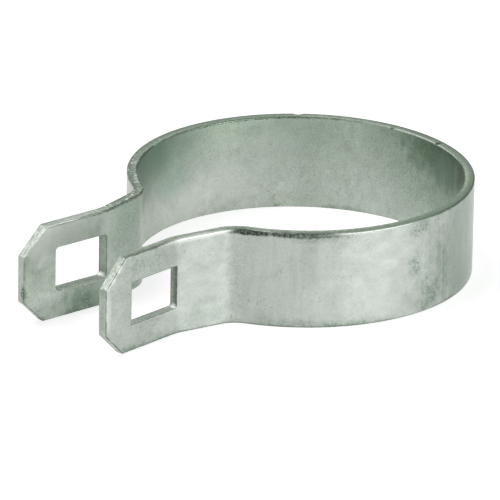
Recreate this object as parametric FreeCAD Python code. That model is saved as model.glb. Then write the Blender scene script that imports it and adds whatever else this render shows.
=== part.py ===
import FreeCAD, Part
import math
import os

from FreeCAD import Vector

# Brace band for a round fence post: one zinc-coated steel strip, punched and clipped flat,
# then folded into an open ring with two bolt lugs.
# Lengths are in millimetres and angles in degrees. Z is the axis of the ring, the lower edge
# of the strip lies at z = 0, and the lugs point along +X on either side of the XZ plane.

# Strip
strip_width = 22.2
strip_thickness = 2.4
edge_radius = 0.35

# Ring, which slips over the post before the bolt draws it tight
post_diameter = 73.0
post_clearance = 0.5

# Necks, which leave the ring by a fold and close in on each other
fold_radius = 6.2
neck_slope = 12.8
neck_length = 10.0

# Lugs, which splay again beyond the narrowest place of the mouth
mouth_gap = 21.2
root_radius = 9.0
lug_splay = 3.9
lug_length = 21.4
upper_clip = 6.1
lower_clip = 5.4

# Bolt holes, punched from the outer face, with walls that tear wider towards the inner face
hole_length = 14.2
hole_height = 10.0
hole_corner_radius = 0.6
hole_setback = 15.7
hole_straight_depth = 1.0
hole_tear = 0.35
cutter_overrun = 1.0

# How edges are told apart
length_tolerance = 0.001
corner_angle = 60

# Directions seen from above
quarter_turn = 90
half_turn = 180
full_turn = 360
towards_mouth = 270
mirror_normal = Vector(0, 1, 0)
up = Vector(0, 0, 1)
axis_point = Vector(0, 0, 0)

# Radii along the middle of the strip's thickness
half_thickness = strip_thickness / 2
ring_middle = (post_diameter + post_clearance) / 2 + half_thickness
fold_middle = fold_radius + half_thickness
root_middle = root_radius + half_thickness

# The neck is tangent to the fold and to the root bend, and the fold is tangent to the ring.
# The mouth's gap sets how far out the two bends lie, and so where the ring ends.
slope = math.radians(neck_slope)
splay = math.radians(lug_splay)
root_y = mouth_gap / 2 + strip_thickness + root_radius
fold_y = root_y - (root_middle - fold_middle) * math.cos(slope) + neck_length * math.sin(slope)
ring_end = math.degrees(math.asin(fold_y / (ring_middle + fold_middle)))
fold_x = (ring_middle + fold_middle) * math.cos(math.radians(ring_end))
root_x = fold_x + (root_middle - fold_middle) * math.sin(slope) + neck_length * math.cos(slope)
fold_center = Vector(fold_x, fold_y, 0)
root_center = Vector(root_x, root_y, 0)

# Frame of the lug on the +Y side
lug_direction = Vector(math.cos(splay), math.sin(splay), 0)
lug_inward = Vector(math.sin(splay), -math.cos(splay), 0)


def point_around(center, radius, angle):
    turn = math.radians(angle)
    return center + Vector(math.cos(turn), math.sin(turn), 0) * radius


def straight(start, end):
    return Part.LineSegment(start, end).toShape()


def arc(center, radius, start_angle, end_angle):
    middle_angle = (start_angle + end_angle) / 2
    angles = (start_angle, middle_angle, end_angle)
    return Part.Arc(*[point_around(center, radius, angle) for angle in angles]).toShape()


def mirrored(shape):
    return shape.mirror(axis_point, mirror_normal)


def lug_end(offset):
    """Corner of the +Y lug's end, this far outside the middle of the strip."""
    lug_start = point_around(root_center, root_middle - offset, towards_mouth + lug_splay)
    return lug_start + lug_direction * lug_length


def face_line(offset):
    """Edges of the strip seen from above, lug end to lug end, this far outside its middle."""
    fold = fold_middle - offset
    root = root_middle - offset
    neck_angle = towards_mouth - neck_slope
    lug_angle = towards_mouth + lug_splay
    side = [
        straight(lug_end(offset), point_around(root_center, root, lug_angle)),
        arc(root_center, root, lug_angle, neck_angle),
        straight(point_around(root_center, root, neck_angle), point_around(fold_center, fold, neck_angle)),
        arc(fold_center, fold, neck_angle, half_turn + ring_end),
    ]
    ring = arc(axis_point, ring_middle + offset, ring_end, full_turn - ring_end)
    return side + [ring] + [mirrored(edge) for edge in side]


def folded_strip():
    """The strip with square lug ends and sharp edges."""
    end_line = straight(lug_end(half_thickness), lug_end(-half_thickness))
    edges = face_line(half_thickness) + face_line(-half_thickness) + [end_line, mirrored(end_line)]
    outline = Part.Wire(Part.__sortEdges__(edges))
    return Part.Face(outline).extrude(up * strip_width)


def edges_through_thickness(strip, height):
    """The short straight edges that cross the thickness at the lugs' corners, at this height."""
    short = [edge for edge in strip.Edges if abs(edge.Length - strip_thickness) < length_tolerance]
    return [edge for edge in short if abs(edge.CenterOfMass.z - height) < length_tolerance]


def sharp_edges(strip):
    """Edges where a face of the strip meets its rim, without the seams between bends and flats."""
    found = []
    for edge in strip.Edges:
        middle = edge.valueAt((edge.FirstParameter + edge.LastParameter) / 2)
        first, second = [
            face.normalAt(*face.Surface.parameter(middle))
            for face in strip.ancestorsOfType(edge, Part.Face)
        ]
        if abs(first.dot(second)) < math.cos(math.radians(corner_angle)):
            found.append(edge)
    return found


def shaped_strip():
    """The strip with clipped lug corners and softened edges."""
    strip = folded_strip()
    strip = strip.makeChamfer(upper_clip, edges_through_thickness(strip, strip_width))
    strip = strip.makeChamfer(lower_clip, edges_through_thickness(strip, 0))
    return strip.makeFillet(edge_radius, sharp_edges(strip))


def hole_outline(widening, depth):
    """Rounded rectangle of the hole, widened on each side, this far in from the lug's middle."""
    across = hole_length / 2 + widening
    height = hole_height / 2 + widening
    corner_x = across - hole_corner_radius
    corner_y = height - hole_corner_radius
    corners = [(corner_x, corner_y), (-corner_x, corner_y), (-corner_x, -corner_y), (corner_x, -corner_y)]
    edges = []
    for number, (x, y) in enumerate(corners):
        start_angle = number * quarter_turn
        end_angle = start_angle + quarter_turn
        edges.append(arc(Vector(x, y, depth), hole_corner_radius, start_angle, end_angle))
    ends = [(edge.Vertexes[0].Point, edge.Vertexes[1].Point) for edge in edges]
    for number, (_, end) in enumerate(ends):
        next_start = ends[(number + 1) % len(ends)][0]
        edges.append(straight(end, next_start))
    return Part.Wire(Part.__sortEdges__(edges))


def hole_cutter():
    """Punch of the +Y lug's hole: straight from the outer face, then widening inwards."""
    outside = -half_thickness - cutter_overrun
    tear_start = -half_thickness + hole_straight_depth
    inside = half_thickness + cutter_overrun
    tear_slope = hole_tear / (strip_thickness - hole_straight_depth)
    inside_widening = tear_slope * (inside - tear_start)
    punch = Part.makeLoft([hole_outline(0, outside), hole_outline(0, tear_start)], True, True)
    tear = Part.makeLoft([hole_outline(0, tear_start), hole_outline(inside_widening, inside)], True, True)
    cutter = punch.fuse(tear)
    lug_turn = FreeCAD.Rotation(lug_direction, up, lug_inward, "XYZ")
    hole_center = lug_end(0) - lug_direction * hole_setback + up * (strip_width / 2)
    cutter.Placement = FreeCAD.Placement(hole_center, lug_turn)
    return cutter


def brace_band():
    cutter = hole_cutter()
    return shaped_strip().cut([cutter, mirrored(cutter)])


os.makedirs("parts", exist_ok=True)
band = brace_band().Solids[0]
band.exportStep("parts/brace_band.step")
print("bore diameter", round(2 * (ring_middle - half_thickness), 2))
print("ring ends at", round(ring_end, 2), "degrees from the mouth's middle")
print("volume", round(band.Volume, 1), "valid", band.isValid())
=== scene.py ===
import bmesh
import bpy
import math
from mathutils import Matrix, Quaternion, Vector
from mathutils.geometry import delaunay_2d_cdt


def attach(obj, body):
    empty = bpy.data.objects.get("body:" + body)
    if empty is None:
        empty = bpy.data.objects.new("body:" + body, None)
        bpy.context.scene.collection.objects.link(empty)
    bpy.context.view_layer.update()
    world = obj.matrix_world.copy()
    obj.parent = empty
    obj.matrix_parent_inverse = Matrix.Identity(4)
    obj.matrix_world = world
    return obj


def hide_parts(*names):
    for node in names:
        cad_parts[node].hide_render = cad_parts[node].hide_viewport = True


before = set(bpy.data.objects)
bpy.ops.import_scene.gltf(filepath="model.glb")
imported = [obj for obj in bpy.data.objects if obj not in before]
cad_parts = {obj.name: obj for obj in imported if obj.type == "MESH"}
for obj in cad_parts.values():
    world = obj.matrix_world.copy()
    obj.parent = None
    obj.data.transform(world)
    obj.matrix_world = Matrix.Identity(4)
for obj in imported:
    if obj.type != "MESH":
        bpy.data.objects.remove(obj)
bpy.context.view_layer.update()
mm = 0.001
bandNode = "brace_band"
plainWhite = (1, 1, 1, 1)
plainBlack = (0, 0, 0, 1)


# The band: a flat blank, punched and clipped, then folded round the post
bandSizes = {                  # millimetres and degrees
    "width": 22.2,
    "thickness": 2.4,
    "boreRadius": 36.75,
    "foldRadius": 6.2,         # inside of the bend, on the strip's outer face
    "neckSlope": 12.8,
    "neckLength": 10.0,
    "mouthGap": 21.2,
    "rootRadius": 9.0,
    "lugSplay": 3.9,
    "lugLength": 21.4,
    "upperClip": 6.1,
    "lowerClip": 5.4,
    "cornerRadius": 0.5,
    "holeSetback": 15.7,
    "punchShift": 0.38,        # both holes were punched this far towards the +Y lug's end
    "holeStraight": 1.0,       # depth of the clean cut, before the wall tears wider
    "holeRoll": 0.26,          # rounding where the punch went in
    "outerRoll": 0.34,         # sheared edges: rolled over outside, crisper inside
    "innerRoll": 0.24,
    "rollMargin": 0.1,         # flat ring beside each roll, so that only the roll shades round
    "shearDepth": 0.04,        # roughness of the sheared walls
    "clipDepth": 0.07,         # and of the clipped corners
    "endWear": 0.35,           # and of the lugs' ends, as a share of the corners'
    "waveDepth": 0.1,          # how far the faces dip
    "nickAcross": 1.2,         # how far a knock in the rim reaches through the strip, and down
    "nickDown": 1.1,
    "rimStep": 0.32,           # mesh spacing
    "faceStep": 0.62,
    "pathStep": 0.2,
    "faceGap": 0.6,            # clear of points beside rims and holes, in face steps
    "clipGap": 1.5,            # and along the clips, in margins
    "outerRollSteps": 4,
    "innerRollSteps": 3,
    "holeRollSteps": 3,
    "wallSteps": 5,
    "tearSteps": 4,
    "cornerSteps": 3,
    "holeCornerSteps": 5,
    "sharpAngle": 48,          # edges that turn by more than this stay crisp
}


punches = [                    # the +Y and the -Y lug's holes, as punch and zinc left them
    {"side": 1, "length": 14.4, "height": 9.8, "rise": -0.1, "cornerRadius": 0.5, "tear": 0.04},
    {"side": -1, "length": 13.6, "height": 9.45, "rise": 0.27, "cornerRadius": 0.95, "tear": 0.42},
]


def bandPlan(size):
    half = size["thickness"] / 2
    ring = size["boreRadius"] + half
    fold = size["foldRadius"] + half
    root = size["rootRadius"] + half
    slope = math.radians(size["neckSlope"])
    splay = math.radians(size["lugSplay"])
    foldY = size["mouthGap"] / 2 + half + root
    foldY += (fold - root) * math.cos(slope) + size["neckLength"] * math.sin(slope)
    ringEnd = math.asin(foldY / (ring + fold))
    # (radius, turn) for a bend, (length, 0) for a flat, from the back of the ring to a lug's end
    return [
        (ring, ringEnd - math.pi),
        (fold, math.pi / 2 - ringEnd - slope),
        (size["neckLength"], 0),
        (root, slope + splay),
        (size["lugLength"], 0),
    ]


def halfLength(plan):
    return sum(amount * abs(turn) if turn else amount for amount, turn in plan)


def walkPlan(plan, start, step):
    place = Vector(start)
    heading = math.pi / 2
    points = [place.copy()]
    for amount, turn in plan:
        length = amount * abs(turn) if turn else amount
        count = math.ceil(length / step)
        chord = 2 * amount * math.sin(abs(turn) / count / 2) if turn else length / count
        for i in range(count):
            middle = heading + turn / count / 2
            place = place + Vector((math.cos(middle), math.sin(middle))) * chord
            heading += turn / count
            points.append(place.copy())
    return points


def makeFoldPath(size, plan):
    start = (-size["boreRadius"] - size["thickness"] / 2, 0)
    side = walkPlan(plan, start, size["pathStep"])
    line = [Vector((p.x, -p.y)) for p in reversed(side[1:])] + side
    curve = bpy.data.curves.new("foldPath", "CURVE")
    curve.dimensions = "3D"
    spline = curve.splines.new("POLY")
    spline.points.add(len(line) - 1)
    for point, place in zip(spline.points, line):
        point.co = (place.x * mm, place.y * mm, 0, 1)
    path = bpy.data.objects.new("foldPath", curve)
    bpy.context.collection.objects.link(path)
    return path


def roundedLoop(corners, radius, step, arcSteps):
    arcs = []
    for i, corner in enumerate(corners):
        into = (corner - corners[i - 1]).normalized()
        out = (corners[(i + 1) % len(corners)] - corner).normalized()
        turn = into.angle(out)
        cut = radius * math.tan(turn / 2)
        center = corner - into * cut + Vector((-into.y, into.x)) * radius
        first = math.atan2(-into.x, into.y)
        # a corner shifts as a whole when the loop grows, so its radius stays the same
        middle = first + turn / 2
        push = Vector((math.cos(middle), math.sin(middle))) / math.cos(turn / 2)
        arc = []
        for j in range(arcSteps + 1):
            angle = first + turn * j / arcSteps
            normal = Vector((math.cos(angle), math.sin(angle)))
            arc.append((center + normal * radius, normal, push))
        arcs.append(arc)
    loop = []
    for arc, following in zip(arcs, arcs[1:] + arcs[:1]):
        loop.extend(arc)
        start, normal = arc[-1][:2]
        end = following[0][0]
        count = max(1, math.ceil((end - start).length / step))
        for j in range(1, count):
            loop.append((start.lerp(end, j / count), normal, normal))
    return loop


def rollProfile(radius, margin, steps):
    # inset from the edge, drop from the face, and share of the way from face to wall
    roll = [(radius + margin, 0, 0)]
    for i in range(steps + 1):
        angle = math.pi / 2 * i / steps
        roll.append((radius * (1 - math.sin(angle)), radius * (1 - math.cos(angle)), i / steps))
    return roll


def rimProfile(size):
    half = size["thickness"] / 2
    margin = size["rollMargin"]
    outerRoll = rollProfile(size["outerRoll"], margin, size["outerRollSteps"])
    innerRoll = rollProfile(size["innerRoll"], margin, size["innerRollSteps"])
    outer = [(inset, half - drop, share) for inset, drop, share in outerRoll]
    inner = [(inset, drop - half, share) for inset, drop, share in innerRoll]
    wallSteps = size["wallSteps"]
    top = outer[-1][1]
    bottom = inner[-1][1]
    wall = [(0, top + (bottom - top) * i / wallSteps, 1) for i in range(1, wallSteps)]
    return outer + wall + inner[::-1]


def holeProfile(size, widening):
    half = size["thickness"] / 2
    margin = size["rollMargin"]
    holeRoll = rollProfile(size["holeRoll"], margin, size["holeRollSteps"])
    outer = [(inset, half - drop, share) for inset, drop, share in holeRoll]
    tearStart = half - size["holeStraight"]
    tearSteps = size["tearSteps"]
    tear = []
    for i in range(tearSteps):
        tear.append((widening * i / tearSteps, tearStart - (tearStart + half) * i / tearSteps, 1))
    return outer + tear + [(widening, -half, 0), (widening + margin, -half, 0)]


clipNormal = 0.6               # a clipped corner faces at least this far both along and up
endNormal = 0.95               # and a lug's end this far along


def wallRings(bm, size, loop, profile, side):
    sheared = bm.verts.layers.float["sheared"]
    clipped = bm.verts.layers.float["clipped"]
    pooled = bm.verts.layers.float["pooled"]
    rings = []
    for inset, depth, share in profile:
        ring = []
        for point, normal, push in loop:
            place = point + push * inset * side
            vert = bm.verts.new((place.x * mm, depth * mm, place.y * mm))
            vert[sheared] = share
            if side < 0:
                onClip = min(abs(normal.x), abs(normal.y)) > clipNormal
                onEnd = abs(normal.x) > endNormal
                vert[clipped] = 1 if onClip else size["endWear"] if onEnd else 0
            else:
                vert[pooled] = max(0, -normal.y)
            ring.append(vert)
        rings.append(ring)
    for upper, lower in zip(rings, rings[1:]):
        for i in range(len(loop)):
            bm.faces.new((upper[i - 1], upper[i], lower[i], lower[i - 1]))
    return rings


insideOnly = 1                 # triangles within the outlines alone
mergeWithin = 1e-7             # mm


def fillFace(bm, loops, spots, depth, holes):
    verts = [vert for loop in loops for vert in loop]
    verts += [bm.verts.new((u * mm, depth * mm, v * mm)) for u, v in spots]
    flat = [Vector((vert.co.x, vert.co.z)) / mm for vert in verts]
    edges = []
    start = 0
    for loop in loops:
        count = len(loop)
        edges += [(start + i, start + (i + 1) % count) for i in range(count)]
        start += count
    places, _, faces, givenAs, _, _ = delaunay_2d_cdt(flat, edges, [], insideOnly, mergeWithin)
    for corners in faces:
        center = sum((places[i] for i in corners), Vector((0, 0))) / len(corners)
        if not any(inHole(center, hole) for hole in holes):
            bm.faces.new([verts[givenAs[i][0]] for i in corners])


def inHole(point, hole):
    middle, across, height, radius = hole
    x = max(abs(point.x - middle.x) - across + radius, 0)
    y = max(abs(point.y - middle.y) - height + radius, 0)
    return math.hypot(x, y) < radius


rimNicks = [                   # knocks in the upper rim: along and through the strip, in mm
    {"u": -7.6, "w": -0.9, "reach": 0.9, "depth": 0.32},
    {"u": 7.0, "w": -0.6, "reach": 0.8, "depth": 0.28},
    {"u": 91.0, "w": 1.1, "reach": 1.3, "depth": 0.22},
    {"u": -96.0, "w": 1.1, "reach": 1.0, "depth": 0.2},
    {"u": -31.0, "w": 1.0, "reach": 1.1, "depth": 0.24},
]


def nickRim(bm, size):
    for nick in rimNicks:
        for vert in bm.verts:
            along = (vert.co.x / mm - nick["u"]) / nick["reach"]
            across = (vert.co.y / mm - nick["w"]) / size["nickAcross"]
            below = (size["width"] - vert.co.z / mm) / size["nickDown"]
            near = 1 - along * along - across * across
            if near > 0 and below < 1:
                vert.co.z -= nick["depth"] * near * (1 - below) * mm


def makeBlank(size, length):
    width = size["width"]
    upper = size["upperClip"]
    lower = size["lowerClip"]
    step = size["rimStep"]
    corners = [(lower - length, 0), (length - lower, 0), (length, lower), (length, width - upper)]
    corners += [(length - upper, width), (upper - length, width)]
    corners += [(-length, width - upper), (-length, lower)]
    corners = [Vector(c) for c in corners]
    outline = roundedLoop(corners, size["cornerRadius"], step, size["cornerSteps"])
    setback = length - size["holeSetback"]
    bm = bmesh.new()
    for name in ("sheared", "clipped", "pooled"):
        bm.verts.layers.float.new(name)
    rings = [wallRings(bm, size, outline, rimProfile(size), -1)]
    holeMiddles = []
    for punch in punches:
        middle = Vector((punch["side"] * setback + size["punchShift"], width / 2 + punch["rise"]))
        across = punch["length"] / 2
        height = punch["height"] / 2
        holeMiddles.append(middle)
        square = [(-across, -height), (across, -height), (across, height), (-across, height)]
        square = [middle + Vector(c) for c in square]
        loop = roundedLoop(square, punch["cornerRadius"], step, size["holeCornerSteps"])
        rings.append(wallRings(bm, size, loop, holeProfile(size, punch["tear"]), 1))
    half = size["thickness"] / 2
    grid = size["faceStep"]
    gap = grid * size["faceGap"]
    columns = math.floor(2 * length / grid)
    rows = math.floor(width / grid)
    for depth, pick, roll in ((half, 0, size["outerRoll"]), (-half, -1, size["innerRoll"])):
        margin = roll + size["rollMargin"] + gap
        clipMargin = margin * size["clipGap"]
        holes = []
        for middle, punch in zip(holeMiddles, punches):
            wider = size["rollMargin"] + (size["holeRoll"] if depth > 0 else punch["tear"])
            across = punch["length"] / 2 + wider
            height = punch["height"] / 2 + wider
            holes.append((middle, across, height, punch["cornerRadius"]))
        spots = []
        for i in range(columns + 1):
            u = -length + 2 * length * i / columns
            inEnd = length - abs(u)
            for j in range(rows + 1):
                v = width * j / rows
                inEdge = min(v, width - v)
                clip = lower if v < width / 2 else upper
                if inEdge < margin or inEnd < margin or inEnd + inEdge < clip + clipMargin:
                    continue
                near = []
                for middle, across, height, _ in holes:
                    near.append(max(abs(u - middle.x) - across, abs(v - middle.y) - height))
                if min(near) > gap:
                    spots.append((u, v))
        fillFace(bm, [ring[pick] for ring in rings], spots, depth, holes)
    bmesh.ops.recalc_face_normals(bm, faces=bm.faces)
    nickRim(bm, size)
    mesh = bpy.data.meshes.new("bandBlank")
    bm.to_mesh(mesh)
    bm.free()
    blank = bpy.data.objects.new("bandBlank", mesh)
    bpy.context.collection.objects.link(blank)
    return blank


def addNode(tree, kind, **settings):
    node = tree.nodes.new(kind)
    for name, value in settings.items():
        setattr(node, name, value)
    return node


def feed(tree, socket, value):
    if isinstance(value, bpy.types.NodeSocket):
        tree.links.new(value, socket)
    else:
        socket.default_value = value


def calc(tree, operation, first, second=0.0):
    node = addNode(tree, "ShaderNodeMath", operation=operation)
    feed(tree, node.inputs[0], first)
    feed(tree, node.inputs[1], second)
    return node.outputs[0]


def span(tree, value, low, high, atLow=0.0, atHigh=1.0):
    node = addNode(tree, "ShaderNodeMapRange", interpolation_type="SMOOTHSTEP")
    feed(tree, node.inputs["Value"], value)
    feed(tree, node.inputs["From Min"], low)
    feed(tree, node.inputs["From Max"], high)
    feed(tree, node.inputs["To Min"], atLow)
    feed(tree, node.inputs["To Max"], atHigh)
    return node.outputs["Result"]


def noise(tree, place, scale, detail=2.0, stretch=(1, 1, 1), shift=0.0):
    pull = addNode(tree, "ShaderNodeVectorMath", operation="MULTIPLY_ADD")
    feed(tree, pull.inputs[0], place)
    pull.inputs[1].default_value = stretch
    pull.inputs[2].default_value = (shift, shift, shift)
    node = addNode(tree, "ShaderNodeTexNoise")
    feed(tree, node.inputs["Vector"], pull.outputs[0])
    node.inputs["Scale"].default_value = scale
    node.inputs["Detail"].default_value = detail
    return node.outputs[0]


def mottling(tree, place, name):
    return noise(tree, place, **zincNoise[name])


def step(tree, value, name, *ends):
    return span(tree, value, *zincSteps[name], *ends)


def tint(tree, amount, below, above, blend="MIX"):
    node = addNode(tree, "ShaderNodeMix", data_type="RGBA", blend_type=blend)
    feed(tree, node.inputs[0], amount)
    feed(tree, node.inputs[6], below)
    feed(tree, node.inputs[7], above)
    return node.outputs[2]


roughPatterns = {              # noise per metre of strip
    "shear": {"scale": 1500, "detail": 3, "stretch": (1, 0.35, 1)},
    "clip": {"scale": 2600, "detail": 2},
    "wave": {"scale": 75, "detail": 1, "stretch": (1, 1, 0.45)},
}


def makeFoldTree():
    tree = bpy.data.node_groups.new("foldStrip", "GeometryNodeTree")
    face = tree.interface
    face.new_socket("Geometry", in_out="OUTPUT", socket_type="NodeSocketGeometry")
    face.new_socket("Geometry", in_out="INPUT", socket_type="NodeSocketGeometry")
    face.new_socket("Fold Path", in_out="INPUT", socket_type="NodeSocketObject")
    for name in ("Half Length", "Half Thickness", "Shear Depth", "Clip Depth", "Wave Depth"):
        face.new_socket(name, in_out="INPUT", socket_type="NodeSocketFloat")
    face.new_socket("Finish", in_out="INPUT", socket_type="NodeSocketMaterial")
    link = tree.links.new
    given = addNode(tree, "NodeGroupInput")
    result = addNode(tree, "NodeGroupOutput")

    # remember the flat place of each point, for patterns that run along the strip
    flat = addNode(tree, "GeometryNodeInputPosition").outputs["Position"]
    remember = addNode(tree, "GeometryNodeStoreNamedAttribute", domain="POINT")
    remember.data_type = "FLOAT_VECTOR"
    remember.inputs["Name"].default_value = "flatPlace"
    link(given.outputs["Geometry"], remember.inputs["Geometry"])
    link(flat, remember.inputs["Value"])

    # rough sheared walls and grainy clipped corners, always inwards
    sheared = addNode(tree, "GeometryNodeInputNamedAttribute", data_type="FLOAT")
    sheared.inputs["Name"].default_value = "sheared"
    clipped = addNode(tree, "GeometryNodeInputNamedAttribute", data_type="FLOAT")
    clipped.inputs["Name"].default_value = "clipped"
    onShear = sheared.outputs["Attribute"]
    onClip = calc(tree, "MULTIPLY", clipped.outputs["Attribute"], onShear)
    shearNoise = noise(tree, flat, **roughPatterns["shear"])
    clipNoise = noise(tree, flat, **roughPatterns["clip"])
    cut = 0.0
    layers = ((shearNoise, onShear, "Shear Depth"), (clipNoise, onClip, "Clip Depth"))
    for pattern, where, depthName in layers:
        share = calc(tree, "MULTIPLY", pattern, where)
        cut = calc(tree, "ADD", cut, calc(tree, "MULTIPLY", share, given.outputs[depthName]))
    outOf = addNode(tree, "GeometryNodeInputNormal")
    inwards = addNode(tree, "ShaderNodeVectorMath", operation="SCALE")
    link(outOf.outputs["Normal"], inwards.inputs[0])
    link(calc(tree, "MULTIPLY", cut, -1.0), inwards.inputs["Scale"])

    # slightly wavy faces: the strip gets thinner in places, and its walls follow
    flatSplit = addNode(tree, "ShaderNodeSeparateXYZ")
    link(flat, flatSplit.inputs[0])
    outShare = calc(tree, "DIVIDE", flatSplit.outputs["Y"], given.outputs["Half Thickness"])
    waveNoise = noise(tree, flat, **roughPatterns["wave"])
    dip = calc(tree, "MULTIPLY", waveNoise, given.outputs["Wave Depth"])
    wave = addNode(tree, "ShaderNodeCombineXYZ")
    link(calc(tree, "MULTIPLY", calc(tree, "MULTIPLY", dip, outShare), -1.0), wave.inputs["Y"])
    moved = addNode(tree, "ShaderNodeVectorMath", operation="ADD")
    link(inwards.outputs[0], moved.inputs[0])
    link(wave.outputs[0], moved.inputs[1])
    roughen = addNode(tree, "GeometryNodeSetPosition")
    link(remember.outputs["Geometry"], roughen.inputs["Geometry"])
    link(moved.outputs[0], roughen.inputs["Offset"])

    # fold along the path: outwards is up crossed with the way the strip runs
    split = addNode(tree, "ShaderNodeSeparateXYZ")
    rough = addNode(tree, "GeometryNodeInputPosition")
    link(rough.outputs["Position"], split.inputs[0])
    along = calc(tree, "ADD", split.outputs["X"], given.outputs["Half Length"])
    pathInfo = addNode(tree, "GeometryNodeObjectInfo")
    link(given.outputs["Fold Path"], pathInfo.inputs["Object"])
    sample = addNode(tree, "GeometryNodeSampleCurve", mode="LENGTH")
    link(pathInfo.outputs["Geometry"], sample.inputs["Curves"])
    link(along, sample.inputs["Length"])

    outward = addNode(tree, "ShaderNodeVectorMath", operation="CROSS_PRODUCT")
    outward.inputs[0].default_value = (0, 0, 1)
    link(sample.outputs["Tangent"], outward.inputs[1])
    depth = addNode(tree, "ShaderNodeVectorMath", operation="SCALE")
    link(outward.outputs[0], depth.inputs[0])
    link(split.outputs["Y"], depth.inputs["Scale"])
    rise = addNode(tree, "ShaderNodeCombineXYZ")
    link(split.outputs["Z"], rise.inputs["Z"])
    bent = addNode(tree, "ShaderNodeVectorMath", operation="ADD")
    link(sample.outputs["Position"], bent.inputs[0])
    link(depth.outputs[0], bent.inputs[1])
    lifted = addNode(tree, "ShaderNodeVectorMath", operation="ADD")
    link(bent.outputs[0], lifted.inputs[0])
    link(rise.outputs[0], lifted.inputs[1])
    fold = addNode(tree, "GeometryNodeSetPosition")
    link(roughen.outputs["Geometry"], fold.inputs["Geometry"])
    link(lifted.outputs[0], fold.inputs["Position"])

    finish = addNode(tree, "GeometryNodeSetMaterial")
    link(fold.outputs["Geometry"], finish.inputs["Geometry"])
    link(given.outputs["Finish"], finish.inputs["Material"])
    link(finish.outputs["Geometry"], result.inputs["Geometry"])
    return tree


def setInput(modifier, name, value):
    for item in modifier.node_group.interface.items_tree:
        if item.item_type == "SOCKET" and item.in_out == "INPUT" and item.name == name:
            modifier[item.identifier] = value


def makeBand(size, finish):
    plan = bandPlan(size)
    length = halfLength(plan)
    path = makeFoldPath(size, plan)
    blank = makeBlank(size, length)
    folding = blank.modifiers.new("foldStrip", "NODES")
    folding.node_group = makeFoldTree()
    setInput(folding, "Fold Path", path)
    setInput(folding, "Half Length", length * mm)
    setInput(folding, "Half Thickness", size["thickness"] / 2 * mm)
    for name in ("Shear", "Clip", "Wave"):
        setInput(folding, name + " Depth", size[name.lower() + "Depth"] * mm)
    setInput(folding, "Finish", finish)
    bpy.context.view_layer.update()
    seen = blank.evaluated_get(bpy.context.evaluated_depsgraph_get())
    mesh = bpy.data.meshes.new_from_object(seen)
    mesh.name = "braceBand"
    blank.modifiers.remove(folding)
    bpy.data.objects.remove(blank)
    bpy.data.objects.remove(path)
    mesh.shade_smooth()
    mesh.set_sharp_from_angle(angle=math.radians(size["sharpAngle"]))
    band = bpy.data.objects.new("braceBand", mesh)
    bpy.context.collection.objects.link(band)
    print("band folded,", len(mesh.vertices), "points,", round(2 * length, 1), "mm of strip")
    return band


# Finish: dull zinc with clouds, grain and a greenish film, darker on sheared walls and along
# edges, with painted shade, painted highlights and painted glints among its stains
zincLook = {
    "outerColour": (0.394, 0.428, 0.396, 1),
    "innerColour": (0.4, 0.447, 0.402, 1),
    "filmColour": (0.245, 0.335, 0.255, 1),
    "oliveColour": (0.33, 0.36, 0.29, 1),
    "paleColour": (0.66, 0.685, 0.655, 1),
    "glintColour": (0.74, 0.76, 0.72, 1),
    "shearColour": (0.235, 0.28, 0.228, 1),
    "clipColour": (0.43, 0.47, 0.425, 1),
    "poolColour": (0.44, 0.465, 0.44, 1),
    "edgeColour": (0.07, 0.1, 0.07, 1),
    "rimColour": (0.025, 0.042, 0.025, 1),
    "pitColour": (0.1, 0.14, 0.1, 1),
    "grimeColour": (0.14, 0.2, 0.145, 1),
    "shadeColour": (0.085, 0.15, 0.09, 1),
    "tealColour": (0.25, 0.37, 0.295, 1),
    "rustColour": (0.25, 0.21, 0.1, 1),
    "cloud": 0.34,
    "mottle": 0.32,
    "grain": 0.5,
    "innerGrain": 0.2,         # more of it on the inner face
    "film": 0.5,
    "filmWander": 22.0,        # mm
    "scuffs": 0.2,
    "scratches": 0.2,
    "scratchSlant": 55,        # degrees
    "pits": 0.42,
    "glint": 0.75,
    "edge": 0.55,
    "clipEdge": 0.2,           # more dirt on the edges of the clips
    "fray": 1.5,               # how far noise pushes the outline of a stain
    "roughness": 0.3,
    "shearRoughness": 0.28,    # added on sheared walls and on dirty edges
    "edgeRoughness": 0.38,
    "reliefRoughness": 0.2,    # and swing with the relief
    "reliefMiddle": 0.55,
    "mottleRelief": 0.8,       # what the relief is mixed from
    "grainRelief": 0.5,
    "bumpDepth": 0.012,        # mm
}
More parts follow.
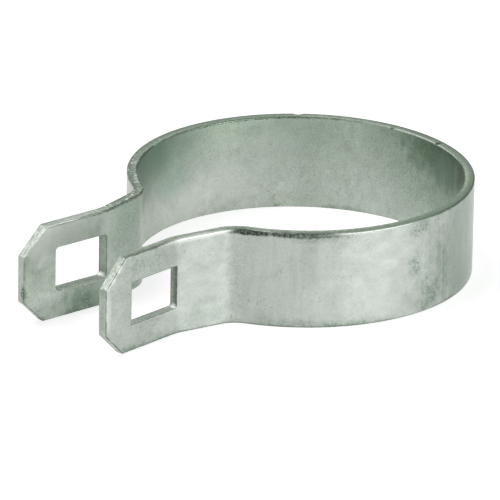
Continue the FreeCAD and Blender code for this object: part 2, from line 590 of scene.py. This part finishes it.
zincNoise = {                  # per millimetre of strip, shifted so that no two are alike
    "cloud": {"scale": 0.11, "detail": 3, "stretch": (1, 1, 0.8)},
    "mottle": {"scale": 0.45, "detail": 5, "stretch": (0.7, 1, 1), "shift": 31.0},
    "grain": {"scale": 2.9, "detail": 3, "shift": 57.0},
    "pits": {"scale": 2.0, "detail": 3, "stretch": (0.8, 1, 1), "shift": 83.0},
    "pitted": {"scale": 0.16, "detail": 1, "shift": 11.0},
    "scuffs": {"scale": 0.7, "detail": 3, "stretch": (1, 1, 0.5), "shift": 23.0},
    "scratches": {"scale": 1.7, "detail": 3, "stretch": (0.26, 1, 1), "shift": 13.0},
    "scratched": {"scale": 0.12, "detail": 2, "shift": 73.0},
    "film": {"scale": 0.07, "detail": 3, "stretch": (1, 1, 1.4), "shift": 47.0},
    "olive": {"scale": 0.5, "detail": 5, "stretch": (1, 1, 0.8), "shift": 67.0},
    "ragged": {"scale": 0.6, "detail": 4, "stretch": (1, 1, 0.7), "shift": 19.0},
    "speckle": {"scale": 2.4, "detail": 3, "stretch": (1, 1, 0.8), "shift": 37.0},
    "streaks": {"scale": 0.6, "detail": 3, "stretch": (1, 1, 0.1), "shift": 61.0},
    "shear": {"scale": 1.5, "detail": 4, "stretch": (1, 0.55, 1), "shift": 5.0},
    "clip": {"scale": 1.7, "detail": 2, "shift": 71.0},
    "rubbed": {"scale": 0.5, "detail": 3, "shift": 91.0},
    "glint": {"scale": 1.25, "detail": 2, "shift": 43.0},
}
zincSteps = {                  # smooth steps: from, to, and the values there if not 0 and 1
    "inside": (0.6, -0.6),
    "pits": (0.58, 0.74),
    "pitted": (0.38, 0.62, 0.1, 1.0),
    "scuffs": (0.6, 0.78),
    "scratches": (0.55, 0.72),
    "scratched": (0.42, 0.6),
    "film": (14.0, 34.0),
    "olive": (0.44, 0.68, 0.0, 0.5),
    "speckle": (0.36, 0.62, 0.15, 1.0),
    "streaks": (0.38, 0.64, 0.1, 1.0),
    "shear": (0.3, 0.7, 0.8, 1.2),
    "shearFade": (-1.1, 1.0, 1.3, 0.65),
    "clip": (0.36, 0.64, -0.2, 0.22),
    "onClip": (0.0, 0.3),
    "onShear": (0.5, 0.95),
    "edgeIn": (0.0, 0.22),
    "edgeOut": (0.98, 0.7),
    "rubbed": (0.35, 0.6, 0.2, 1.0),
    "glint": (0.57, 0.68),
    "glintHeight": (19.0, 21.0),   # mm up the strip
    "glintStart": (-70.0, -90.0),  # and along it, none to full
    "glintEnd": (-126.0, -116.0),
}
noiseMiddle = 0.5
faceDepth = bandSizes["thickness"] / 2
faceReach = 0.8                # so that a stain on one face ends within the strip


def stain(middle, reach, colour, amount, soft=0.9, grain=0.5, streak=0.0, fray=1.0):
    return {"Middle": middle, "Reach": reach, "colour": colour, "Amount": amount,
            "Soft": soft, "Grain": grain, "Streak": streak, "Fray": fray}


def onFace(depth, middle, reach, *colour, **edge):
    return stain((middle[0], depth, middle[1]), (reach[0], faceReach, reach[1]), *colour, **edge)


def onOuter(*spot, **edge):
    return onFace(faceDepth, *spot, **edge)


def onInner(*spot, **edge):
    return onFace(-faceDepth, *spot, **edge)


stains = [                     # middle and reach in mm: along, through and up the strip
    # outer face of the ring and the fold, with a dark line along its lower edge
    onOuter((69, 11), (11, 22), "outer", 0.62, soft=0.7, grain=0.0, fray=0.3),
    onOuter((112, 12), (8, 18), "outer", 0.4, soft=0.6, grain=0.0, fray=0.3),
    onOuter((90, 11), (18, 22), "pit", 0.17, soft=0.6, grain=1.0, fray=0.3),
    onOuter((90, 11), (18, 22), "pale", 0.27, soft=0.6, grain=1.0, streak=0.5, fray=0.3),
    onOuter((61.5, 11.5), (3, 4.6), "grime", 0.75, grain=1.0),
    onOuter((60.5, 20), (4.5, 2.6), "grime", 0.75, grain=1.0),
    onOuter((57.5, 4.5), (4, 5), "grime", 0.66, grain=1.0),
    onOuter((55, 11), (6, 14), "grime", 0.5, grain=1.0, streak=0.7),
    # the ring darker and greener towards its right end: painted shade
    onOuter((42, 11), (17, 22), "grime", 0.48, soft=0.7, grain=0.1, fray=0.3),
    onOuter((76, 11), (14, 20), "pale", 0.1, soft=0.8, grain=0.3, fray=0.6),
    # more of that painted shade at the ring's right end, grainy and streaked
    onOuter((42, 11), (14, 20), "grime", 0.32, soft=0.7, grain=0.9, streak=0.6),
    onOuter((52.6, 9), (0.6, 10), "grime", 0.55, grain=0.8),
    onOuter((59.6, 2.3), (0.7, 1.0), "rust", 0.5, grain=1.0),
    onOuter((104.2, 1.6), (0.5, 1.2), "rust", 0.6, grain=1.0),
    onOuter((103, 12), (3.4, 13), "pit", 0.24, grain=1.0),
    onOuter((90, 0.6), (14, 2.4), "grime", 0.5, grain=0.8),
    onOuter((76, 0.3), (14, 1.8), "grime", 0.56, grain=0.8),
    onOuter((79, 0.3), (7, 0.9), "grime", 0.5, grain=0.4),
    stain((100, 1.2, 0.1), (60, 0.6, 0.6), "edge", 0.45, soft=0.7, grain=0.6, fray=0.3),
    stain((124, 1.2, 0.1), (16, 0.7, 0.9), "edge", 0.5, soft=0.7, grain=0.6, fray=0.4),
    stain((50, 1.2, 0.1), (10, 0.7, 0.9), "edge", 0.5, soft=0.7, grain=0.6, fray=0.4),
    onOuter((59, 20.8), (3, 1.4), "grime", 0.4, grain=0.7),
    onOuter((58.5, 2), (2.2, 2.2), "grime", 0.5, grain=0.8),
    # the rim above it: darker towards the fold, with a painted dark band along the rolled edge
    # there, then a pale edge, partly rubbed zinc and partly a painted highlight, then a dark line
    stain((48, 0, 22.2), (24, 1.8, 0.6), "grime", 0.7, soft=0.5, grain=0.2, fray=0.3),
    # a dark band along the rolled edge near the fold: painted shade, for the dark reflection in
    # its rounding
    stain((100, 1.25, 21.7), (7, 0.6, 1.0), "rim", 1.0, soft=0.5, grain=0.3, fray=0.5),
    stain((88.5, 1.25, 21.7), (11, 0.6, 0.95), "rim", 1.0, soft=0.6, grain=0.5, fray=0.8),
    stain((86, 1.2, 20.9), (8, 0.6, 1.6), "grime", 0.5, grain=0.9),
    stain((97.5, 0.75, 22.2), (4, 0.35, 0.4), "glint", 0.8, soft=0.7, grain=0.8, fray=0.6),
    # a pale edge along the roll: partly rubbed zinc, partly a painted highlight
    stain((72, 1.2, 21.75), (12, 0.4, 0.34), "pale", 0.6, soft=0.6, grain=0.9, fray=1.2),
    stain((80, 1.2, 21.2), (3.4, 0.6, 0.7), "grime", 0.7, grain=1.0),
    stain((65, 1.15, 22), (17, 0.5, 0.5), "grime", 0.6, soft=0.5, grain=0.6, fray=0.4),
    stain((40, 1.1, 22.1), (26, 0.5, 0.6), "edge", 0.9, soft=0.6, grain=0.4, fray=0.4),
    # the lug on the +Y side
    onOuter((130, 11), (14, 15), "pit", 0.2, soft=0.6, grain=0.9, fray=0.6),
    onOuter((129, 19.5), (9, 4), "grime", 0.34, grain=0.8),
    onOuter((124, 1.0), (9, 2.6), "grime", 0.35, grain=0.8),
    onOuter((133, 0.5), (6, 1.6), "grime", 0.75, grain=0.5),
    stain((137, -0.2, 20.4), (3.5, 1.5, 3.5), "grime", 0.2, soft=0.5, grain=0.6),
    stain((135.6, 0, 21.8), (1.6, 1.6, 1.2), "grime", 0.45, grain=0.5),
    stain((141.2, 0, 15.4), (0.9, 1.6, 2), "grime", 0.45, grain=0.5),
    onOuter((112, 3.5), (8, 6), "grime", 0.16, grain=0.5),
    onOuter((140.4, 11), (1.1, 6.5), "pale", 0.4, soft=0.7, grain=0.3, fray=0.3),
    onOuter((139, 17.9), (1.2, 1.5), "pale", 0.4, soft=0.7, grain=0.3, fray=0.3),
    onOuter((137, 20), (1.4, 1.4), "pale", 0.4, soft=0.7, grain=0.3, fray=0.3),
    stain((141.2, 0, 10), (0.6, 1.6, 6), "grime", 0.34, grain=0.9, fray=0.6),
    # the pale band below the neck's top edge: painted highlight
    stain((113, 1.2, 21.9), (11.6, 1.6, 1.05), "pale", 0.58, soft=0.6, grain=0.1, fray=0.3),
    stain((128, 1.1, 22.1), (7, 0.5, 0.5), "edge", 0.4, soft=0.6, grain=0.4, fray=0.4),
    stain((126, 0, 6.1), (8, 1.6, 0.6), "grime", 0.62, soft=0.5, grain=0.7, fray=0.5),
    # a pale corner in the hole: zinc left there, with a painted glint on it
    stain((118.9, 0.2, 6.3), (1.0, 1.4, 0.9), "pale", 1.0, soft=0.6, grain=0.3, fray=0.4),
    # the lug and neck on the -Y side
    # the lug's inner face lighter towards the top: painted light, reflected from the other lug
    onInner((-130, 20), (18, 9.5), "pale", 0.8, grain=0.1, fray=0.5),
    onInner((-136.5, 16.8), (7, 5), "pale", 0.62, grain=0.2, fray=0.4),
    onInner((-135.5, 9.5), (5, 4), "grime", 0.22, grain=0.4, fray=0.5),
    onInner((-126, 0.4), (5, 1.3), "pit", 0.85, grain=0.6),
    # and darker towards the bottom: painted shade, from the shadowed floor between the lugs that
    # it reflects
    onInner((-123, 2.5), (15, 7.5), "grime", 0.68, grain=0.2, fray=0.5),
    onInner((-124.5, 2), (6.5, 4.4), "grime", 0.8, grain=0.7),
    onInner((-124, 2), (2.4, 2.4), "pit", 0.7, grain=1.0),
    onInner((-107.5, 11), (13, 24), "grime", 0.5, soft=0.7, grain=0.75, fray=0.4),
    stain((-118.3, -0.1, 11.1), (0.9, 1.5, 6.5), "inner", 0.7, soft=0.6, grain=0.5, fray=0.3),
    stain((-126, -0.2, 6.5), (9, 1.6, 0.8), "grime", 0.75, soft=0.5, grain=0.4, fray=0.3),
    stain((-125, -1.1, 6.2), (9, 0.5, 0.7), "pit", 0.7, soft=0.6, grain=0.8, fray=1.2),
    stain((-124, -1.1, 6.3), (9, 0.6, 0.5), "glint", 0.42, soft=0.5, grain=1.0, fray=2.4),
    # a pale corner in the hole: zinc left there, with a painted glint on it
    stain((-118.6, 0.2, 6.8), (0.9, 1.2, 0.8), "pale", 1.0, soft=0.6, grain=0.3, fray=0.4),
    stain((-136, -0.6, 0.6), (1.5, 1.5, 1.5), "pit", 0.9, grain=0.6),
    stain((-141, -0.9, 7.6), (1.0, 0.9, 3), "pit", 0.85, soft=0.5, grain=0.8),
    stain((-126, 0.2, 22.2), (13, 1.3, 0.5), "pale", 0.4, soft=0.6, grain=0.4, fray=0.4),
    stain((-108, -1.1, 21.9), (20, 0.6, 0.6), "edge", 0.9, soft=0.6, grain=0.8, fray=0.5),
    stain((-120, -1.15, 22.0), (9, 0.4, 0.5), "edge", 0.7, soft=0.6, grain=0.6, fray=0.5),
    stain((-131, -1.15, 22.0), (11, 0.45, 0.5), "edge", 0.5, soft=0.5, grain=0.6, fray=0.4),
    stain((-101, -1.15, 22), (6, 0.5, 0.9), "rim", 0.9, soft=0.7, grain=0.4, fray=0.4),
    # inner face of the ring
    onInner((-36.6, 2.2), (0.7, 2.2), "rust", 0.5, grain=1.0),
    onInner((-36, 0.5), (0.8, 0.7), "pit", 0.7, grain=0.8),
    onInner((-21, 0.3), (9, 1.0), "grime", 0.6, grain=0.6),
    onInner((-55.8, 0.8), (0.8, 0.8), "rust", 0.6, grain=1.0),
    # lighter patches on the inner face: painted light, standing for the bright floor it reflects
    onInner((-70, 3.5), (9, 7), "pale", 0.32, grain=0.3, fray=0.4),
    onInner((-60, 3.5), (12, 9.5), "pale", 0.46, grain=0.3, fray=0.5),
    onInner((-49, 7), (14, 10), "pale", 0.34, grain=0.3, fray=0.6),
    onInner((-38, 14), (12, 7), "pale", 0.16, grain=0.3, fray=0.6),
    onInner((-11, 6), (9, 8), "pale", 0.14, grain=0.4, fray=0.6),
    # darker and greener high on the left of the inner face, under the rim: painted shade, tinted
    # green
    onInner((-74, 19), (16, 8), "teal", 0.75, grain=0.2, fray=0.5),
    onInner((-65, 11), (9, 6), "teal", 0.45, grain=0.3, fray=0.6),
    onInner((-25, 13), (13, 15), "grime", 0.14, grain=0.4, fray=0.8),
    onInner((-27, 4), (12, 7), "grime", 0.16, grain=0.3, fray=0.5),
    # the right of the inner face darker, most of all under the rim: painted shade, in these three
    onInner((10, 20.5), (20, 11), "shade", 0.8, soft=0.7, grain=0.5, fray=0.7),
    onInner((10, 9), (14, 9), "shade", 0.34, grain=0.1, fray=0.5),
    onInner((2, 11), (26, 15), "grime", 0.46, grain=0.8, fray=0.5),
    onInner((-3.5, 17), (0.9, 2.6), "pale", 0.2, grain=0.4, fray=0.4),
    onInner((17.5, 17), (1.2, 5.5), "pale", 0.26, grain=0.5, fray=0.4),
    onInner((18, 19.5), (1.8, 3), "pale", 0.32, grain=0.3, fray=0.4),
    onInner((11, 15), (0.5, 4), "pale", 0.2, grain=0.4, fray=0.4),
    # a lighter, greener patch within that painted shade
    onInner((12.5, 18.5), (7, 5.5), "film", 0.85, soft=0.8, grain=0.4, fray=0.5),
    # the rim above it
    stain((-50, 0, 22.2), (26, 1.8, 0.6), "grime", 0.5, soft=0.5, grain=0.3, fray=0.3),
    stain((-46, -1.15, 22.0), (36, 0.35, 0.45), "edge", 0.95, soft=0.6, grain=0.8, fray=0.6),
    stain((-90, 0, 22.2), (32, 1.6, 0.6), "grime", 0.6, soft=0.5, grain=0.9, fray=0.6),
    stain((-84, -1.1, 22.1), (16, 0.4, 0.8), "rim", 0.8, soft=0.6, grain=0.6, fray=0.6),
    stain((6, 0.1, 22.2), (27, 1.4, 0.5), "grime", 0.62, soft=0.6, grain=0.5, fray=0.4),
    stain((0, 0.3, 22.2), (8, 1.1, 0.5), "edge", 0.4, soft=0.6, grain=0.7, fray=0.6),
    # a pale line along the inner roll: painted highlight
    stain((4, -1.1, 22.1), (20, 0.24, 0.4), "pale", 0.8, soft=0.5, grain=0.7, fray=0.4),
    stain((34, -0.7, 22.2), (8, 0.5, 0.5), "glint", 0.3, soft=0.5, grain=1.0, fray=2.0),
    stain((36, -1.0, 22.2), (9, 0.4, 0.5), "edge", 0.6, soft=0.5, grain=1.0, fray=2.0),
    # dark in the two knocks in the rim: painted shade
    stain((7.0, -0.5, 22.1), (1.0, 1.0, 0.6), "rim", 0.9, soft=0.6, grain=0.2, fray=0.4),
    stain((-7.6, -0.9, 22), (0.8, 0.6, 0.7), "rim", 0.8, soft=0.6, grain=0.2, fray=0.4),
]


def makeMottleGroup(look):
    tree = bpy.data.node_groups.new("zincMottle", "ShaderNodeTree")
    face = tree.interface
    face.new_socket("Place", in_out="INPUT", socket_type="NodeSocketVector")
    for name in ("Tone", "Pits", "Scuffs", "Scratches", "Film", "Olive", "Height"):
        face.new_socket(name, in_out="OUTPUT", socket_type="NodeSocketFloat")
    given = addNode(tree, "NodeGroupInput")
    result = addNode(tree, "NodeGroupOutput")
    place = given.outputs["Place"]
    split = addNode(tree, "ShaderNodeSeparateXYZ")
    feed(tree, split.inputs[0], place)
    inside = step(tree, split.outputs["Y"], "inside")
    layers = {name: mottling(tree, place, name) for name in ("cloud", "mottle", "grain")}
    tone = 1.0
    for name, layer in layers.items():
        swing = calc(tree, "MULTIPLY", calc(tree, "SUBTRACT", layer, noiseMiddle), look[name])
        tone = calc(tree, "ADD", tone, swing)
    grainSwing = calc(tree, "SUBTRACT", layers["grain"], noiseMiddle)
    innerGrain = calc(tree, "MULTIPLY", inside, look["innerGrain"])
    coarser = calc(tree, "MULTIPLY", grainSwing, innerGrain)
    feed(tree, result.inputs["Tone"], calc(tree, "ADD", tone, coarser))
    pits = step(tree, mottling(tree, place, "pits"), "pits")
    pitted = step(tree, mottling(tree, place, "pitted"), "pitted")
    feed(tree, result.inputs["Pits"], calc(tree, "MULTIPLY", pits, pitted))
    feed(tree, result.inputs["Scuffs"], step(tree, mottling(tree, place, "scuffs"), "scuffs"))

    # slanted scratches on the inner face, where posts and dies have rubbed
    turned = addNode(tree, "ShaderNodeVectorRotate", rotation_type="Y_AXIS")
    feed(tree, turned.inputs["Vector"], place)
    turned.inputs["Angle"].default_value = math.radians(look["scratchSlant"])
    strokes = step(tree, mottling(tree, turned.outputs[0], "scratches"), "scratches")
    scratched = step(tree, mottling(tree, place, "scratched"), "scratched")
    strokes = calc(tree, "MULTIPLY", calc(tree, "MULTIPLY", strokes, scratched), inside)
    feed(tree, result.inputs["Scratches"], strokes)
    broad = calc(tree, "MULTIPLY", layers["mottle"], look["mottleRelief"])
    fine = calc(tree, "MULTIPLY", layers["grain"], look["grainRelief"])
    feed(tree, result.inputs["Height"], calc(tree, "ADD", broad, fine))

    # the film gathers high up on the strip's inner face, with a wandering lower edge
    wander = calc(tree, "MULTIPLY", mottling(tree, place, "film"), look["filmWander"])
    high = step(tree, calc(tree, "ADD", split.outputs["Z"], wander), "film")
    feed(tree, result.inputs["Film"], calc(tree, "MULTIPLY", inside, high))
    olive = step(tree, mottling(tree, place, "olive"), "olive")
    feed(tree, result.inputs["Olive"], calc(tree, "MULTIPLY", inside, olive))
    return tree


def makeStainGrainGroup(look):
    tree = bpy.data.node_groups.new("stainGrain", "ShaderNodeTree")
    face = tree.interface
    face.new_socket("Place", in_out="INPUT", socket_type="NodeSocketVector")
    for name in ("Ragged", "Speckle", "Streaks"):
        face.new_socket(name, in_out="OUTPUT", socket_type="NodeSocketFloat")
    given = addNode(tree, "NodeGroupInput")
    result = addNode(tree, "NodeGroupOutput")
    place = given.outputs["Place"]
    ragged = calc(tree, "SUBTRACT", mottling(tree, place, "ragged"), noiseMiddle)
    feed(tree, result.inputs["Ragged"], calc(tree, "MULTIPLY", ragged, look["fray"]))
    feed(tree, result.inputs["Speckle"], step(tree, mottling(tree, place, "speckle"), "speckle"))
    feed(tree, result.inputs["Streaks"], step(tree, mottling(tree, place, "streaks"), "streaks"))
    return tree


def makeStainGroup():
    tree = bpy.data.node_groups.new("stainSpot", "ShaderNodeTree")
    face = tree.interface
    for name in ("Place", "Middle", "Reach"):
        face.new_socket(name, in_out="INPUT", socket_type="NodeSocketVector")
    for name in ("Amount", "Soft", "Grain", "Streak", "Fray", "Ragged", "Speckle", "Streaks"):
        face.new_socket(name, in_out="INPUT", socket_type="NodeSocketFloat")
    face.new_socket("Mask", in_out="OUTPUT", socket_type="NodeSocketFloat")
    given = addNode(tree, "NodeGroupInput")
    result = addNode(tree, "NodeGroupOutput")
    away = addNode(tree, "ShaderNodeVectorMath", operation="SUBTRACT")
    feed(tree, away.inputs[0], given.outputs["Place"])
    feed(tree, away.inputs[1], given.outputs["Middle"])
    share = addNode(tree, "ShaderNodeVectorMath", operation="DIVIDE")
    feed(tree, share.inputs[0], away.outputs[0])
    feed(tree, share.inputs[1], given.outputs["Reach"])
    far = addNode(tree, "ShaderNodeVectorMath", operation="LENGTH")
    feed(tree, far.inputs[0], share.outputs[0])
    frayed = calc(tree, "MULTIPLY", given.outputs["Ragged"], given.outputs["Fray"])
    reach = calc(tree, "ADD", far.outputs["Value"], frayed)
    spot = span(tree, reach, 1.0, calc(tree, "SUBTRACT", 1.0, given.outputs["Soft"]))
    drawn = calc(tree, "SUBTRACT", given.outputs["Streaks"], given.outputs["Speckle"])
    drawn = calc(tree, "MULTIPLY", drawn, given.outputs["Streak"])
    drawn = calc(tree, "ADD", given.outputs["Speckle"], drawn)
    gaps = calc(tree, "MULTIPLY", calc(tree, "SUBTRACT", drawn, 1.0), given.outputs["Grain"])
    pattern = calc(tree, "ADD", gaps, 1.0)
    mask = calc(tree, "MULTIPLY", calc(tree, "MULTIPLY", spot, pattern), given.outputs["Amount"])
    feed(tree, result.inputs["Mask"], mask)
    return tree


def makeZinc(look):
    zinc = bpy.data.materials.new("zincCoat")
    zinc.use_nodes = True
    tree = zinc.node_tree
    skin = tree.nodes["Principled BSDF"]
    skin.inputs["Metallic"].default_value = 1.0
    flat = addNode(tree, "ShaderNodeAttribute", attribute_name="flatPlace")
    scaled = addNode(tree, "ShaderNodeVectorMath", operation="SCALE")
    feed(tree, scaled.inputs[0], flat.outputs["Vector"])
    scaled.inputs["Scale"].default_value = 1 / mm
    place = scaled.outputs[0]
    mottled = addNode(tree, "ShaderNodeGroup")
    mottled.node_tree = makeMottleGroup(look)
    feed(tree, mottled.inputs["Place"], place)
    split = addNode(tree, "ShaderNodeSeparateXYZ")
    feed(tree, split.inputs[0], place)
    inside = step(tree, split.outputs["Y"], "inside")
    colour = tint(tree, inside, look["outerColour"], look["innerColour"])
    film = calc(tree, "MULTIPLY", mottled.outputs["Film"], look["film"])
    scuffs = calc(tree, "MULTIPLY", mottled.outputs["Scuffs"], look["scuffs"])
    scratches = calc(tree, "MULTIPLY", mottled.outputs["Scratches"], look["scratches"])
    pits = calc(tree, "MULTIPLY", mottled.outputs["Pits"], look["pits"])
    colour = tint(tree, film, colour, look["filmColour"])
    colour = tint(tree, mottled.outputs["Olive"], colour, look["oliveColour"])
    colour = tint(tree, 1.0, colour, mottled.outputs["Tone"], "MULTIPLY")
    colour = tint(tree, scuffs, colour, look["paleColour"])
    colour = tint(tree, scratches, colour, look["paleColour"])
    colour = tint(tree, pits, colour, look["pitColour"])

    # sheared walls, streaked through the strip, with zinc left on clips, ends and hole floors
    sheared, clipped, pooled = [
        addNode(tree, "ShaderNodeAttribute", attribute_name=name).outputs["Fac"]
        for name in ("sheared", "clipped", "pooled")
    ]
    shearTone = step(tree, mottling(tree, place, "shear"), "shear")
    shearTone = calc(tree, "MULTIPLY", shearTone, step(tree, split.outputs["Y"], "shearFade"))
    shearColour = tint(tree, 1.0, look["shearColour"], shearTone, "MULTIPLY")
    clipTone = step(tree, mottling(tree, place, "clip"), "clip")
    clipTone = calc(tree, "ADD", calc(tree, "MULTIPLY", clipTone, clipped), 1.0)
    clipColour = tint(tree, 1.0, look["clipColour"], clipTone, "MULTIPLY")
    shearColour = tint(tree, step(tree, clipped, "onClip"), shearColour, clipColour)
    shearColour = tint(tree, pooled, shearColour, look["poolColour"])
    onShear = step(tree, sheared, "onShear")
    colour = tint(tree, onShear, colour, shearColour)

    # dirt along the edges, broken where they are rubbed bright
    onEdge = calc(tree, "MULTIPLY", step(tree, sheared, "edgeIn"), step(tree, sheared, "edgeOut"))
    rubbed = step(tree, mottling(tree, place, "rubbed"), "rubbed")
    edge = calc(tree, "MULTIPLY", onEdge, rubbed)
    dirt = calc(tree, "ADD", look["edge"], calc(tree, "MULTIPLY", clipped, look["clipEdge"]))
    colour = tint(tree, calc(tree, "MULTIPLY", edge, dirt), colour, look["edgeColour"])

    # stains, each over the ones before it; some are painted shade and painted highlights
    grime = addNode(tree, "ShaderNodeGroup")
    grime.node_tree = makeStainGrainGroup(look)
    feed(tree, grime.inputs["Place"], place)
    stainTree = makeStainGroup()
    for spot in stains:
        node = addNode(tree, "ShaderNodeGroup")
        node.node_tree = stainTree
        feed(tree, node.inputs["Place"], place)
        for name in ("Ragged", "Speckle", "Streaks"):
            feed(tree, node.inputs[name], grime.outputs[name])
        for name in ("Middle", "Reach", "Amount", "Soft", "Grain", "Streak", "Fray"):
            node.inputs[name].default_value = spot[name]
        colour = tint(tree, node.outputs["Mask"], colour, look[spot["colour"] + "Colour"])

    # painted glints: pale specks standing for light caught by the zinc, on the upper rim of one
    # end
    glint = step(tree, mottling(tree, place, "glint"), "glint", 0.0, look["glint"])
    onRim = onShear
    for axis, name in (("Z", "glintHeight"), ("X", "glintStart"), ("X", "glintEnd")):
        onRim = calc(tree, "MULTIPLY", onRim, step(tree, split.outputs[axis], name))
    glint = calc(tree, "MULTIPLY", glint, onRim)
    colour = tint(tree, glint, colour, look["glintColour"])
    feed(tree, skin.inputs["Base Color"], colour)

    relief = calc(tree, "SUBTRACT", mottled.outputs["Height"], look["reliefMiddle"])
    rough = look["roughness"]
    for where, key in ((onShear, "shear"), (onEdge, "edge"), (relief, "relief")):
        rough = calc(tree, "ADD", rough, calc(tree, "MULTIPLY", where, look[key + "Roughness"]))
    feed(tree, skin.inputs["Roughness"], rough)
    bump = addNode(tree, "ShaderNodeBump")
    bump.inputs["Strength"].default_value = 1.0
    bump.inputs["Distance"].default_value = look["bumpDepth"] * mm
    feed(tree, bump.inputs["Height"], mottled.outputs["Height"])
    feed(tree, skin.inputs["Normal"], bump.outputs["Normal"])
    print("zinc mixed,", len(stains), "stains")
    return zinc


band = makeBand(bandSizes, makeZinc(zincLook))
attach(band, "root")
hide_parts(bandNode)


# Floor, light and camera
stageLook = {
    "floorSize": 8.0,
    "floorColour": (0.7, 0.7, 0.7, 1),
    "floorGlow": 0.76,              # rest of the way to white, without lighting the band more
    "worldFill": 0.08,
    "fadeSpan": (0.3, 0.9),         # metres from the band over which the paper goes to plain white
}
lamps = {                           # bearing and height in degrees, distance and sides in metres
    "keyLamp": {"bearing": 100, "height": 5.5, "distance": 1.2,
                "wide": 0.95, "tall": 0.2, "power": 13.0},
    "topLamp": {"bearing": -50, "height": 65, "distance": 1.3,
                "wide": 0.8, "tall": 0.8, "power": 8.0},
}
cameraPlace = {
    "azimuth": 135.95,
    "elevation": 20.96,
    "roll": 1.12,
    "aim": (7.23, -8.47, 2.78),     # mm
    "distance": 1454.3,             # mm
    "lens": 463.7,
    "sensor": 36,
    "clipEnd": 20,                  # metres, past the floor
}


def seenDirectly(tree):
    rays = addNode(tree, "ShaderNodeLightPath").outputs
    seen = calc(tree, "MAXIMUM", rays["Is Camera Ray"], rays["Is Glossy Ray"])
    return calc(tree, "MAXIMUM", seen, rays["Is Transmission Ray"])


def makeWorld(look):
    world = bpy.data.worlds.new("studio")
    world.use_nodes = True
    tree = world.node_tree
    fill = tree.nodes["Background"]
    fill.inputs["Color"].default_value = plainWhite
    fill.inputs["Strength"].default_value = look["worldFill"]
    white = addNode(tree, "ShaderNodeBackground")
    white.inputs["Color"].default_value = plainWhite
    white.inputs["Strength"].default_value = 1.0
    choose = addNode(tree, "ShaderNodeMixShader")
    tree.links.new(seenDirectly(tree), choose.inputs["Fac"])
    tree.links.new(fill.outputs[0], choose.inputs[1])
    tree.links.new(white.outputs[0], choose.inputs[2])
    tree.links.new(choose.outputs[0], tree.nodes["World Output"].inputs["Surface"])
    bpy.context.scene.world = world


def makeFloor(look):
    side = look["floorSize"] / 2
    corners = [(-side, -side, 0), (side, -side, 0), (side, side, 0), (-side, side, 0)]
    mesh = bpy.data.meshes.new("floor")
    mesh.from_pydata(corners, [], [(0, 1, 2, 3)])
    floor = bpy.data.objects.new("floor", mesh)
    bpy.context.collection.objects.link(floor)
    paper = bpy.data.materials.new("floorPaper")
    paper.use_nodes = True
    tree = paper.node_tree
    skin = tree.nodes["Principled BSDF"]
    skin.inputs["Roughness"].default_value = 1.0
    skin.inputs["Specular IOR Level"].default_value = 0.0
    skin.inputs["Emission Color"].default_value = plainWhite
    spot = addNode(tree, "ShaderNodeTexCoord")
    away = addNode(tree, "ShaderNodeVectorMath", operation="LENGTH")
    feed(tree, away.inputs[0], spot.outputs["Object"])
    fade = span(tree, away.outputs["Value"], *look["fadeSpan"])
    feed(tree, skin.inputs["Base Color"], tint(tree, fade, look["floorColour"], plainBlack))
    brighter = calc(tree, "MULTIPLY", fade, 1 - look["floorGlow"])
    glow = calc(tree, "ADD", brighter, look["floorGlow"])
    feed(tree, skin.inputs["Emission Strength"], calc(tree, "MULTIPLY", seenDirectly(tree), glow))
    mesh.materials.append(paper)


def makeLamp(name, place):
    bearing = math.radians(place["bearing"])
    height = math.radians(place["height"])
    flat = math.cos(height)
    aim = Vector((math.cos(bearing) * flat, math.sin(bearing) * flat, math.sin(height)))
    lamp = bpy.data.lights.new(name, "AREA")
    lamp.shape = "RECTANGLE"
    lamp.size = place["wide"]
    lamp.size_y = place["tall"]
    lamp.energy = place["power"]
    holder = bpy.data.objects.new(name, lamp)
    holder.location = aim * place["distance"]
    holder.rotation_mode = "QUATERNION"
    holder.rotation_quaternion = (-aim).to_track_quat("-Z", "Y")
    bpy.context.collection.objects.link(holder)


def makeCamera(place):
    azimuth = math.radians(place["azimuth"])
    elevation = math.radians(place["elevation"])
    flat = math.cos(elevation)
    back = Vector((math.sin(azimuth) * flat, -math.cos(azimuth) * flat, math.sin(elevation)))
    view = bpy.data.cameras.new("photoView")
    view.lens = place["lens"]
    view.sensor_width = place["sensor"]
    view.clip_end = place["clipEnd"]
    camera = bpy.data.objects.new("photoView", view)
    camera.rotation_mode = "QUATERNION"
    camera.location = (Vector(place["aim"]) + back * place["distance"]) * mm
    tilt = Quaternion((0, 0, 1), math.radians(place["roll"]))
    camera.rotation_quaternion = (-back).to_track_quat("-Z", "Y") @ tilt
    bpy.context.collection.objects.link(camera)
    bpy.context.scene.camera = camera


makeWorld(stageLook)
makeFloor(stageLook)
for lampName, lampPlace in lamps.items():
    makeLamp(lampName, lampPlace)
makeCamera(cameraPlace)
bpy.context.scene.view_settings.view_transform = "Standard"
print("stage ready")
